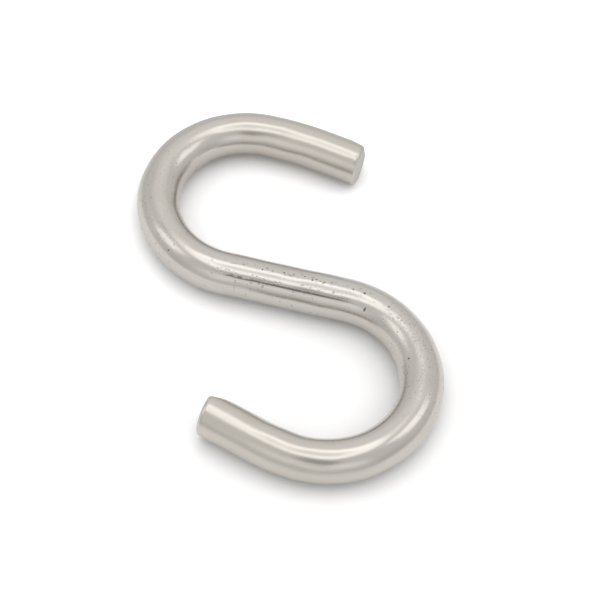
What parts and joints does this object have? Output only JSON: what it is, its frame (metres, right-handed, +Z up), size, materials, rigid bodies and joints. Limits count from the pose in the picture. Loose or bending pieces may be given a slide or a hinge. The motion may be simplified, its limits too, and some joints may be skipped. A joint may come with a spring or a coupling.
{
  "type": "s hook",
  "caption": "Open S hook bent cold from one round steel wire, a wide hook at each end, with cropped and tumbled tips, for hanging a load from a bar, ring or chain.",
  "frame": {"origin": "middle of the hook's length and width, on the flat surface that it lies on", "axes": "+Y along the hook's length, from the lower hook to the upper hook through both bend centres; +X to the right, on the side of the upper hook's open tip; +Z up, through the thickness of the wire"},
  "size_m": [0.032, 0.0526, 0.005],
  "materials": {
    "stainless_wire": "satin, tumbled stainless steel wire"
  },
  "bodies": {
    "root": {"s_hook": "stainless_wire"}
  },
  "joints": []
}
